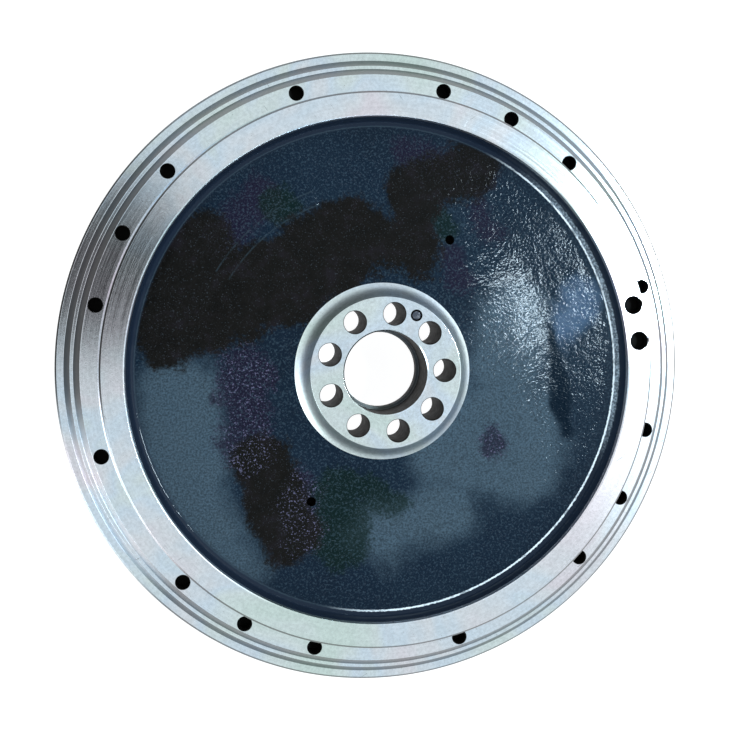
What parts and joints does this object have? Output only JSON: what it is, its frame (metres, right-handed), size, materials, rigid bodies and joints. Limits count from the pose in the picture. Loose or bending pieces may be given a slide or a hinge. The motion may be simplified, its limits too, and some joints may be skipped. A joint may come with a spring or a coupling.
{
  "type": "engine flywheel",
  "caption": "Heavy diesel engine flywheel: machined stepped rim, painted cast dish, raised drilled hub with an open centre bore, and locating pins.",
  "frame": {"origin": "on the spin axis, in the plane that the flywheel rests on with its clutch side down", "axes": "+Z along the spin axis towards the crankshaft; +X through one of the crank bolt holes"},
  "size_m": [0.504, 0.504, 0.08],
  "materials": {
    "cast_iron": "machined bright on the rim, hub and clutch face; gloss blue-black paint on the sand-cast dish",
    "pin_steel": "black oxide, ground"
  },
  "bodies": {
    "root": {"flywheel_casting": "cast_iron", "crank_dowel_pin": "pin_steel", "clutch_dowel_pin_1": "pin_steel", "clutch_dowel_pin_2": "pin_steel", "clutch_dowel_pin_3": "pin_steel"}
  },
  "joints": []
}
